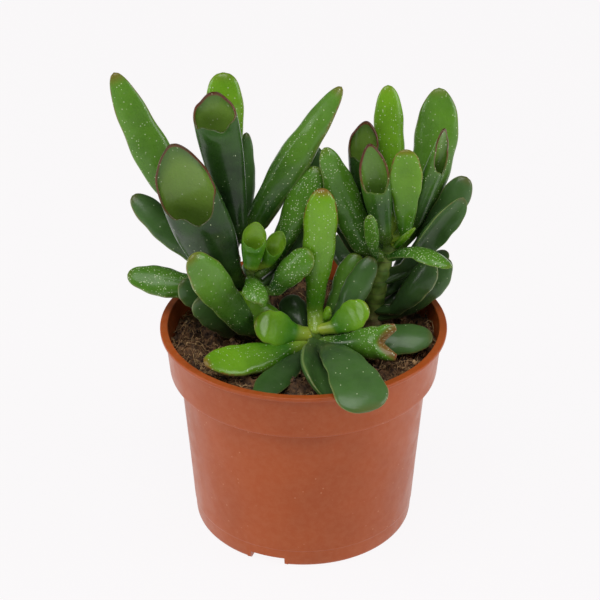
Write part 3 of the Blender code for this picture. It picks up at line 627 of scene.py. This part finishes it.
leaves = {
    "left": {
        "left_low_leaf_1": leaf(4, -139, 51, 32, 14, neck=0.7, look=(-100, 30), side=-100, style="dark"),
        "left_low_leaf_2": leaf(9, -154, 49, 29, 12, neck=0.6, look=(-80, 30), style="dark"),
        "left_side_leaf": leaf(17, 178, 12, 42, 13.5, thick=6, look=(-90, 55), side=160, style="starry"),
        "left_rear_leaf_1": leaf(23, 166, 42, 52, 13, look=(-70, 40), side=150, style="grey"),
        "left_back_leaf_1": leaf(15, 128, 40, 42, 14),
        "left_back_leaf_2": leaf(8, 75, 22, 34, 14, style="dark"),
        "big_horn_leaf": leaf(20, -156, 71, 79, 27, thick=12, look=(-112, 12), lip=0.57, neck=0.5, peak=0.5,
            side=-100, ear=1.15, ragged=0.02, bulge=0.12, style="horn", red=0.9),
        "left_outer_leaf": leaf(34, 168, 62, 89, 15.5, thick=6, look=faceOn, sway=14, peak=0.6, hollow=0.08,
            side=150, style="jade", red=0.8, point=1.7),
        "left_horn_leaf": leaf(36, -178, 81, 77, 18.5, thick=10, look=(-105, 5), lip=0.82, ear=1.5,
            bulge=0.3, neck=0.4, peak=0.8, side=-50, style="horn", red=1.0),
        "left_tall_leaf": leaf(40, 96, 79, 70, 15.5, thick=6, look=faceOn, neck=0.35, peak=0.82, hollow=0.1,
            style="fresh"),
        "left_rear_leaf_2": leaf(37, 82, 70, 48, 9, thick=5, look=faceOn, peak=0.45, side=50, style="grey"),
        "left_long_leaf": leaf(41, 10, 59, 78, 14.5, thick=9, neck=0.6, look=(-120, 40), bend=-10,
            peak=0.55, side=10, style="jade", red=0.7, point=1.6),
        "left_bud_leaf": leaf(43, 75, 84, 39, 3.2, thick=2, peak=0.5, side=-138, style="bud"),
    },
    "middle": {
        "middle_low_leaf": leaf(5, -145, 58, 56, 15.5, thick=7, look=(-75, 35), neck=0.6, peak=0.7,
            hollow=0.1, style="jade", red=0.6),
        "curled_leaf": leaf(32, -76, 0, 19, 15, thick=3.2, look=(-110, -40), bend=80, curl=150, neck=0.38,
            side=-112, style="starry"),
        "speckled_side_leaf": leaf(24, -16, 52, 29, 12, look=(-80, 50), sway=25, side=-40, style="starry"),
        "middle_rear_leaf": leaf(26, 39, 45, 38, 9, look=faceOn, style="grey"),
        "speckled_leaf": leaf(31, 21, 63, 51, 13, thick=7.5, look=(-90, 45), peak=0.72, side=30,
            style="starry"),
        "middle_bud_leaf_1": leaf(34, -33, 82, 27, 10, thick=5, look=faceOn, lip=0.6, ear=1.15, rim=0.6,
            bulge=0.2, side=-100, style="bud"),
        "middle_bud_leaf_2": leaf(35, -19, 68, 21, 8, thick=5, look=faceOn, lip=0.5, rim=0.5, style="bud"),
    },
    "front": {
        "front_low_leaf_1": leaf(4, -121, -1, 41, 12, thick=3.5, hollow=0.1, look=(-90, 70), style="dark"),
        "front_low_leaf_2": leaf(4, 127, 43, 20, 12, look=faceOn, style="dark"),
        "front_right_leaf": leaf(4.7, -1, 5, 44, 15, thick=5, look=(-90, 60), side=-15, style="grey"),
        "front_rim_leaf": leaf(4, -70, 3, 54, 21, thick=4, look=(-80, 70), bend=-75, neck=0.34, peak=0.84,
            point=3.2, hollow=0.08, style="grey", red=0.3),
        "front_rear_leaf_1": leaf(6, 41, 58, 37, 10.6, thick=4.5, look=faceOn, peak=0.75, side=61,
            style="jade"),
        "front_rear_leaf_2": leaf(7, 33, 57, 38, 11, look=(-90, 30), neck=0.6, side=10, style="grey"),
        "front_tall_leaf": leaf(10, 0, 87, 63, 14, thick=8, look=faceOn, peak=0.72, side=95, style="fresh",
            red=1.3),
        "front_left_leaf": leaf(6, -147, 8, 49, 15, look=(-95, 60), bend=30, peak=0.6, hollow=0.16,
            style="fresh", red=1.2),
        "front_drooping_leaf": leaf(7, -84, -6, 36, 14.5, thick=3.4, look=(-20, 50), sway=-70, curl=85,
            style="grey"),
        "front_horn_leaf": leaf(5.5, -27, 17, 33, 15, thick=7.2, look=faceOn, fork=0.2, peak=0.9, point=5.0,
            neck=0.5, style="starry", red=1.4),
        "front_round_leaf_1": leaf(9.5, -170, 22, 22, 15, thick=4.5, look=(-90, 45), neck=0.4, peak=0.55,
            hollow=0.26, wave=0.1, style="bud", red=1.0),
        "front_round_leaf_2": leaf(9.5, 168, 21, 36, 13, thick=4.5, look=(-90, 45), neck=0.3, peak=0.7,
            hollow=0.3, wave=0.1, red=0.8, style="bud"),
        "front_round_leaf_3": leaf(12, 0, 36, 20, 13, thick=3.8, look=(-90, 50), neck=0.4, peak=0.58,
            hollow=0.26, wave=0.1, red=0.9, style="bud"),
        "front_bud_leaf": leaf(11, 38, 76, 9, 4.5, thick=3, side=52, style="bud"),
    },
    "right": {
        "right_low_leaf_1": leaf(7, -15, 57, 34, 12, look=(-120, 20), sway=-15, side=-30, style="dark"),
        "right_low_leaf_2": leaf(4, 4, 48, 37, 12, look=(-100, 20), sway=-40, style="dark"),
        "right_low_leaf_3": leaf(13, 29, 55, 21, 10, look=(-110, 20), side=40, style="dark"),
        "right_back_leaf_1": leaf(5, 35, 30, 38, 13, style="dark"),
        "right_back_leaf_2": leaf(8, 112, 30, 36, 14, style="dark"),
        "right_rear_leaf_1": leaf(25, 155, 62, 61, 12.6, look=faceOn, style="grey"),
        "right_side_leaf": leaf(20, 14, 57, 55, 12.5, look=(-90, 20), sway=-12, peak=0.78, side=12,
            style="grey"),
        "right_folded_leaf": leaf(24, -13, 57, 48, 13, thick=3, look=(-60, 25), curl=100, hollow=0.25,
            side=-6, style="grey"),
        "right_arched_leaf": leaf(33, -39, 17, 36, 15, thick=3.6, look=(-90, -60), bend=78, curl=130,
            neck=0.3, side=-102, style="starry"),
        "right_speckled_leaf": leaf(32, -165, 70, 58, 14, look=(-70, 20), neck=0.55, peak=0.5,
            style="starry"),
        "right_small_leaf": leaf(32, -101, 58, 39, 6, thick=3, look=faceOn, side=-135, style="starry"),
        "right_broad_leaf": leaf(33, 46, 71, 71, 18, thick=6, look=faceOn, sway=-30, hollow=-0.12, side=45,
            style="jade"),
        "right_rear_leaf_2": leaf(34, 120, 82, 57, 15, thick=9, look=(-125, 10), lip=0.72, ear=1.2,
            side=150, style="horn", red=1.0),
        "right_pinched_leaf": leaf(37, -14, 73, 58, 11, thick=7.6, look=(-35, 15), lip=0.66, side=14,
            style="jade", red=0.9),
        "right_tall_leaf": leaf(39.5, 100, 78, 64, 13, thick=6, look=(-80, 20), side=80, style="fresh"),
        "right_horn_leaf": leaf(38, -146, 80, 53, 12, thick=7.5, look=faceOn, lip=0.6, ear=1.4, side=-100,
            style="jade", red=1.0),
        "right_round_leaf": leaf(40, -110, 86, 46, 13.5, thick=5, look=faceOn, curl=40, neck=0.33,
            peak=0.75, hollow=0.3, side=-33, style="fresh", red=0.9),
        "right_bud_leaf": leaf(39.5, -52, 50, 20, 4, thick=2, side=-75, style="bud"),
    },
}


def leafMaterial(name, look):
    # living succulent leaf under a wax coat: translucent flesh, pale hard margin, red-brown flush in strong
    # light, white salt specks about 0.4 mm across, grey bloom that rubs off; soft gloss
    made, add, shader = newMaterial(name)
    where = add("TexCoord", output="Object")
    along, margin, rim, inside, flush = (add("Attribute", output="Fac", attribute_name=key)
                                         for key in ("along", "margin", "rim", "inside", "flush"))
    # painted shade: the blade is a deeper green low down, where the leaves above shade it, partly also the deeper
    # green of older flesh; faint patches of tone all over
    paintedLowShade = add("MapRange", {0: along, 1: 0.12, 2: 0.8, 3: 0.85, 4: 0}, **smoothRange)
    patches = add("TexNoise", {"Vector": where, "Scale": perMetre / 14, "Detail": 3})
    patches = add("MapRange", {0: patches, 1: 0.35, 2: 0.75, 4: 0.35}, **smoothRange)
    paintedLowShade = add("Math", {0: paintedLowShade, 1: patches}, operation="ADD")
    base = add("Mix", {0: paintedLowShade, 6: linear(look["base"]), 7: linear(look["deep"])}, **colourMix)
    # young tissue: yellower at the foot of the blade, and another green inside a rolled leaf
    foot = add("MapRange", {0: along, 1: 0.02, 2: 0.22, 3: 0.75, 4: 0}, **smoothRange)
    lining = add("Math", {0: inside, 1: 0.6}, operation="MULTIPLY")
    bloom = add("TexNoise", {"Vector": where, "Scale": perMetre / 16, "Detail": 6, "Roughness": 0.6})
    least = look["bloom"] * 0.35
    bloom = add("MapRange", {0: bloom, 1: 0.35, 2: 0.7, 3: least, 4: look["bloom"]}, **smoothRange)
    # the hard margin: a pale line, flushed red-brown towards the tip
    line = add("MapRange", {0: margin, 1: 0.945, 2: 0.99}, **smoothRange)
    line = add("Math", {0: line, 1: 0.3}, operation="MULTIPLY")
    tones = look["foot"], look["pale"], leafTones["bloom"], leafTones["margin"]
    for share, tone in zip((foot, lining, bloom, line), tones):
        base = add("Mix", {0: share, 6: base, 7: linear(tone)}, **colourMix)
    ragged = add("TexNoise", {"Vector": where, "Scale": perMetre / 2.2, "Detail": 4, "Roughness": 0.7})
    ragged = add("MapRange", {0: ragged, 1: 0.34, 2: 0.6}, **smoothRange)
    upper = add("MapRange", {0: along, 1: 0.55, 2: 0.95}, **smoothRange)
    ragged = add("Math", {0: ragged, 1: upper}, operation="MULTIPLY")
    edge = add("MapRange", {0: margin, 1: 0.9, 2: 0.985}, **smoothRange)
    edge = add("Math", {0: edge, 1: ragged}, operation="MULTIPLY")
    edge = add("Math", {0: edge, 1: flush}, operation="MULTIPLY")
    tip = add("MapRange", {0: along, 1: 0.93, 2: 1}, **smoothRange)
    tip = add("Math", {0: tip, 1: flush}, operation="MULTIPLY")
    tip = add("Math", {0: tip, 1: 0.7}, operation="MULTIPLY")
    # the rim of a rolled leaf: browner still, broken up by noise 1.6 mm across
    broken = add("TexNoise", {"Vector": where, "Scale": perMetre / 1.6, "Detail": 4, "Roughness": 0.7})
    broken = add("MapRange", {0: broken, 1: 0.2, 2: 0.5, 3: 0.45}, **smoothRange)
    lip = add("MapRange", {0: rim, 1: 0.25, 2: 0.7}, **smoothRange)
    lip = add("Math", {0: lip, 1: broken}, operation="MULTIPLY")
    lip = add("Math", {0: lip, 1: flush}, operation="MULTIPLY")
    red = add("Math", {0: edge, 1: tip}, operation="MAXIMUM")
    red = add("Math", {0: red, 1: lip}, operation="MAXIMUM")
    red = add("Math", {0: red, 1: look["red"]}, operation="MULTIPLY")
    flushed, darkest = linear(leafTones["red"]), linear(leafTones["brown"])
    brown = add("Mix", {0: rim, 6: flushed, 7: darkest}, **colourMix)
    base = add("Mix", {0: red, 6: base, 7: brown}, **colourMix)
    # salt specks: one point in each cell of 0.9 mm, kept in a share of the cells that changes by patches
    distance = add("TexVoronoi", {"Vector": where, "Scale": perMetre / 0.9}, output="Distance")
    chance = add("SeparateColor", {0: distance.node.outputs["Color"]})
    share = add("TexNoise", {"Vector": where, "Scale": perMetre / 8, "Detail": 3})
    fewest, most = 1 - 0.15 * look["specks"], 1 - 0.95 * look["specks"]
    share = add("MapRange", {0: share, 1: 0.3, 2: 0.58, 3: fewest, 4: most}, **smoothRange)
    kept = add("Math", {0: chance, 1: share}, operation="GREATER_THAN")
    dot = add("MapRange", {0: distance, 1: 0.14, 2: 0.33, 3: 0.9, 4: 0}, **smoothRange)
    dot = add("Math", {0: kept, 1: dot}, operation="MULTIPLY")
    base = add("Mix", {0: dot, 6: base, 7: linear(leafTones["speck"])}, **colourMix)
    made.node_tree.links.new(base, shader.inputs["Base Color"])
    # wax is duller where the bloom lies
    wax = add("TexNoise", {"Vector": where, "Scale": perMetre / 3, "Detail": 4})
    smoothest, dullest = look["rough"] - 0.04, look["rough"] + 0.08
    wax = add("MapRange", {0: wax, 1: 0.3, 2: 0.7, 3: smoothest, 4: dullest}, **smoothRange)
    duller = add("Math", {0: bloom, 1: 0.4}, operation="MULTIPLY")
    wax = add("Math", {0: wax, 1: duller}, operation="ADD")
    made.node_tree.links.new(wax, shader.inputs["Roughness"])
    # skin cells under 1 mm across, and shallow dents several millimetres wide
    skin = add("TexNoise", {"Vector": where, "Scale": perMetre / 0.7, "Detail": 3})
    skin = add("Bump", {"Height": skin, "Strength": 0.18, "Distance": 0.0001})
    dents = add("TexNoise", {"Vector": where, "Scale": perMetre / 6, "Detail": 2})
    dents = add("Bump", {"Height": dents, "Strength": 0.5, "Distance": 0.0007, "Normal": skin})
    made.node_tree.links.new(dents, shader.inputs["Normal"])
    for socket, value in leafShine.items():
        shader.inputs[socket].default_value = value
    return made


def leafSpine(leaf, shares):
    # centre, facing normal and side vector at shares of the length: a path that turns steadily by bend towards
    # the face and by sway in its own plane, laid so that it ends at the given heading, pitch and reach
    chord = toward(leaf["heading"], leaf["pitch"])
    look = toward(*leaf["look"]) if leaf["look"] else toward(leaf["heading"], leaf["pitch"] + 90)
    normal = unit(look - chord * (look @ chord))
    side = np.cross(chord, normal)
    fine = np.linspace(0, 1, 241)
    upTurn = np.radians(leaf["bend"] * (fine - 0.5))
    sideTurn = np.radians(leaf["sway"] * (fine - 0.5))
    steps = np.stack([np.cos(upTurn) * np.cos(sideTurn), np.sin(sideTurn), np.sin(upTurn)], axis=1)
    path = np.vstack([np.zeros(3), np.cumsum((steps[1:] + steps[:-1]) / 2, axis=0) / 240])
    along = unit(path[-1])
    across = unit(np.cross([0, 0, 1.0], along))
    turn = np.stack([along, across, np.cross(along, across)]).T @ np.stack([chord, side, normal])
    read = lambda values: np.stack([np.interp(shares, fine, values[:, k]) for k in range(3)], axis=-1)
    centre = read(path @ turn) * leaf["reach"] / np.linalg.norm(path[-1])
    tangent = unit(read(steps @ turn))
    facing = unit(normal - tangent * (tangent @ normal)[..., None])
    foot = stemAxis(stems[leaf["stem"]], np.array(float(leaf["up"])))
    return foot + centre, facing, np.cross(tangent, facing)


def seatShift(leaf, points):
    # how far a leaf that starts on the stem's axis moves out so that no point is nearer the stem than the gap:
    # the outer solution of |offset + outward * away| = radius + gap in plan, at each point's own height
    stem = stems[leaf["stem"]]
    outward = toward(leaf["heading"] if leaf["side"] is None else leaf["side"], 0.0)
    points = points.reshape(-1, 3)
    ups = points[:, 2] - soilLevel
    offset = (points - stemAxis(stem, ups))[:, :2]
    straight = offset @ outward[:2]
    room = (stemRadius(stem, ups) + gap) ** 2 - (offset**2).sum(1) + straight**2
    room = np.where(ups > stem["rise"], -1.0, room)
    away = np.where(room > 0, np.sqrt(np.maximum(room, 0)) - straight, 0.0)
    return outward * max(away.max(), 0.0)


def bladeOutline(leaf, s):
    # half width: a narrow neck widens by a smooth step to the peak and closes in a round or pointed tip;
    # half thickness: fullest in the middle, thinner at the tip
    fall = np.clip((s - leaf["peak"]) / (1 - leaf["peak"]), 0, 1)
    tip = np.sqrt(np.clip(1 - fall ** leaf["point"], 0, 1))
    start = np.sqrt(np.clip(s / 0.05, 0, 1))
    width = (leaf["neck"] + (1 - leaf["neck"]) * smooth(s / leaf["peak"])) * tip * start
    belly = 0.8 + 0.2 * np.sin(np.pi * np.clip(s / 0.7, 0, 1))
    thick = belly * (1 - 0.35 * fall) * tip**0.8 * start
    return leaf["width"] / 2 * width, leaf["thick"] / 2 * thick


def bladeSurface(leaf, phase):
    # sections across the spine: a lens (cos a, sin a |sin a|^edge), its margins rolled up by curl into part of
    # a tube, its face slightly hollowed and its margin waved by a few slow sines
    t = np.linspace(0, 1, leaf["rows"] + 2)[1:-1]
    s = (t - 0.35 * np.sin(2 * np.pi * t) / (2 * np.pi))[:, None]
    s = 0.002 + 0.996 * s
    turn = 2 * np.pi * np.arange(leaf["columns"]) / leaf["columns"]
    halfWidth, halfThick = bladeOutline(leaf, s)
    halfThick = halfThick * (leaf["plump"] if leaf["curl"] < 90 else 1.0)
    x, y = np.cos(turn), np.sin(turn) * np.abs(np.sin(turn)) ** leaf["edge"]
    # a forked tip: the middle of the blade stops short of its margins
    reached = s - leaf["fork"] * (1 - np.abs(x) ** 1.5) * smooth((s - 0.55) / 0.45)
    centre, facing, side = leafSpine(leaf, reached)
    swell = 1 + 0.035 * np.sin(5.1 * s * np.pi + phase) + 0.02 * np.sin(11 * s * np.pi + 2 * phase)
    across = halfWidth * swell * x
    depth = halfThick * y - leaf["hollow"] * halfWidth * (1 - x**2) * smooth(s / 0.3) * smooth((1 - s) / 0.3)
    roll = np.radians(max(leaf["curl"], 1.0) / 2) * np.clip(s / 0.4, 0, 1)
    arc = np.maximum(halfWidth, 0.01) / np.maximum(roll, 0.01)
    sideways = (arc - depth) * np.sin(across / arc)
    lifted = arc - (arc - depth) * np.cos(across / arc)
    ripple = np.sin(7.3 * s + phase + 1.9 * np.sign(x)) + 0.6 * np.sin(15 * s + 2.7 * phase)
    lifted = lifted + leaf["wave"] * x**4 * ripple * smooth(s / 0.3) * (1 - s**6)
    points = centre + side * sideways[..., None] + facing * lifted[..., None]
    ends, _, _ = leafSpine(leaf, np.array([0.0, 1.0 - leaf["fork"]]))
    near = np.abs(x) * np.ones_like(s)
    none = 0 * near
    attributes = {"along": s, "margin": near, "rim": none, "inside": none, "flush": leaf["red"] + none}
    return ends[0], points, ends[1], attributes


def hornOutline(leaf, s):
    # half width and half thickness of a horn: a round neck that widens steadily into the mouth
    widen = smooth(s / leaf["peak"])
    close = np.clip((s - leaf["peak"]) / (1.02 - leaf["peak"]), 0, 1)
    start = np.sqrt(np.clip(s / 0.05, 0, 1))
    width = (leaf["neck"] + (1 - leaf["neck"]) * widen) * np.sqrt(1 - close**2.4 * 0.6) * start
    thick = (0.7 + 0.3 * widen) * (1 - 0.25 * close) * start
    return leaf["width"] / 2 * width, leaf["thick"] / 2 * thick


def hornSurface(leaf, phase):
    # a tube whose slanted mouth runs from the lip on the face side up to the ear behind; the wall goes up the
    # outside, over a rounded rim and down into a cup. level runs 0 to 1 outside, 1 to 2 inside
    turn = 2 * np.pi * np.arange(leaf["columns"] + 16) / (leaf["columns"] + 16)
    toEar = ((1 - np.sin(turn)) / 2) ** leaf["ear"]
    wavy = -np.cos(4.4 * (turn - math.radians(150))) + 0.35 * np.sin(9 * turn + phase)
    mouth = leaf["lip"] + (0.985 - leaf["lip"]) * toEar + leaf["ragged"] * wavy * np.sqrt(1 - toEar)
    floorAt = leaf["lip"] - leaf["cup"]
    t = np.linspace(0, 1, 62)[1:, None]
    outer = np.clip((1 - (1 - t) ** 1.5) * 0.985 + 0.002, 0, 1) * mouth
    q = np.linspace(0, np.pi, 9)[1:-1, None]
    rimRadius = leaf["rim"] / 2
    rimAt = 0.985 * mouth + 0.5 * rimRadius / leaf["reach"] + rimRadius * np.sin(q) / leaf["reach"]
    u = np.linspace(0, 1, 31)[1:-1, None]
    inner = 0.985 * mouth + (floorAt - 0.985 * mouth) * np.sin(u * np.pi / 2) ** 1.2
    shares = np.clip(np.vstack([outer, rimAt, inner]), 0, 1)
    halfWidth, halfThick = hornOutline(leaf, shares)
    wall = np.vstack([np.zeros_like(t), leaf["rim"] * (1 - np.cos(q)) / 2, leaf["rim"] + 0 * u])
    close = np.vstack([np.ones_like(t), np.ones_like(q), np.cos(u * np.pi / 2) ** 0.5])
    centre, facing, side = leafSpine(leaf, shares)
    x = np.maximum(halfWidth - wall, 0.05) * close * np.cos(turn)
    y = np.maximum(halfThick - wall, 0.05) * close * np.sin(turn)
    swelling = np.exp(-((shares - leaf["lip"] + 0.05) / 0.05) ** 2) * np.maximum(np.sin(turn), 0)
    y = y * (1 + leaf["bulge"] * swelling)
    points = centre + side * x[..., None] + facing * y[..., None]
    ends, _, _ = leafSpine(leaf, np.array([0.0, floorAt]))
    level = np.vstack([t, 1 + 0.0 * q, 1 + u]) + 0 * turn
    distance = np.abs(np.vstack([(mouth - outer), 0 * rimAt, (0.985 * mouth - inner)])) * leaf["reach"]
    browned = np.clip(1.1 - distance / 1.1, 0, 1) * (0.35 + 0.65 * toEar)
    attributes = {"along": shares * 0.62, "margin": 0 * level, "rim": browned,
                  "inside": np.clip((level - 1.0) * 6, 0, 1), "flush": leaf["red"] + 0 * level}
    return ends[0], points, ends[1], attributes


def makeLeaf(node, leaf, materials, number):
    surface = hornSurface if leaf["lip"] else bladeSurface
    first, points, last, attributes = surface(leaf, 1.7 * number)
    # the foot stays on the stem's axis and the rest moves out, so that the leaf grows out of the stem
    grown = smooth((attributes["along"] - 0.01) / 0.14)[..., None]
    shift = seatShift(leaf, points)
    parts = node.split("_")
    name = parts[0] + "".join(p.title() for p in parts[1:])
    mesh = closedSurface(name, points + shift * grown, first, last + shift, attributes)
    return addPiece(name, mesh, materials[leaf["style"]], "leaf_flesh", node)


leafMaterials = {style: leafMaterial(style + "JadeLeaf", look) for style, look in looks.items()}
number = 0
for stemName, grown in leaves.items():
    for node, values in grown.items():
        makeLeaf(node, {**values, "stem": stemName}, leafMaterials, number)
        number += 1
print("leaves made")


# floor and light: a pale table, one large soft light above and in front, a weaker one at each side

stage = {"floor": "#2a2a2a", "glow": "#fbf9fa", "glowStrength": 0.96, "size": 8.0, "world": 0.12}
lights = {
    "softTop": {"place": (-0.1, -0.45, 1.25), "aim": (0, 0, 0.1), "size": 0.9, "power": 9.0},
    "softLeft": {"place": (-1.15, -0.25, 0.55), "aim": (0, 0, 0.1), "size": 0.6, "power": 5.0},
    "softRight": {"place": (1.15, -0.25, 0.55), "aim": (0, 0, 0.1), "size": 0.6, "power": 5.0},
}


def makeStage():
    # the floor glows evenly, so that it stays pale and takes only a faint shadow
    half = stage["size"] / 2
    mesh = bpy.data.meshes.new("floor")
    below = -0.2 * toMetres
    corners = [(-half, -half, below), (half, -half, below), (half, half, below), (-half, half, below)]
    mesh.from_pydata(corners, [], [(0, 1, 2, 3)])
    made, _, shader = newMaterial("paleTable")
    shader.inputs["Base Color"].default_value = linear(stage["floor"])
    shader.inputs["Roughness"].default_value = 0.9
    shader.inputs["Emission Color"].default_value = linear(stage["glow"])
    shader.inputs["Emission Strength"].default_value = stage["glowStrength"]
    mesh.materials.append(made)
    floor = bpy.data.objects.new("floor", mesh)
    bpy.context.scene.collection.objects.link(floor)
    world = bpy.data.worlds.new("studio")
    world.use_nodes = True
    world.node_tree.nodes["Background"].inputs["Color"].default_value = (1, 1, 1, 1)
    world.node_tree.nodes["Background"].inputs["Strength"].default_value = stage["world"]
    bpy.context.scene.world = world
    bpy.context.scene.view_settings.view_transform = "Standard"


def addLight(name, values):
    # a square soft light turned so that it faces its aim
    data = bpy.data.lights.new(name, "AREA")
    data.size = values["size"]
    data.energy = values["power"]
    made = bpy.data.objects.new(name, data)
    bpy.context.scene.collection.objects.link(made)
    made.location = values["place"]
    direction = np.array(values["aim"]) - np.array(values["place"])
    flat = math.hypot(direction[0], direction[1])
    heading = math.atan2(direction[1], direction[0])
    made.rotation_euler = (math.atan2(flat, -direction[2]), 0, heading - math.pi / 2)


makeStage()
for lightName, lightValues in lights.items():
    addLight(lightName, lightValues)
print("stage and lights made")
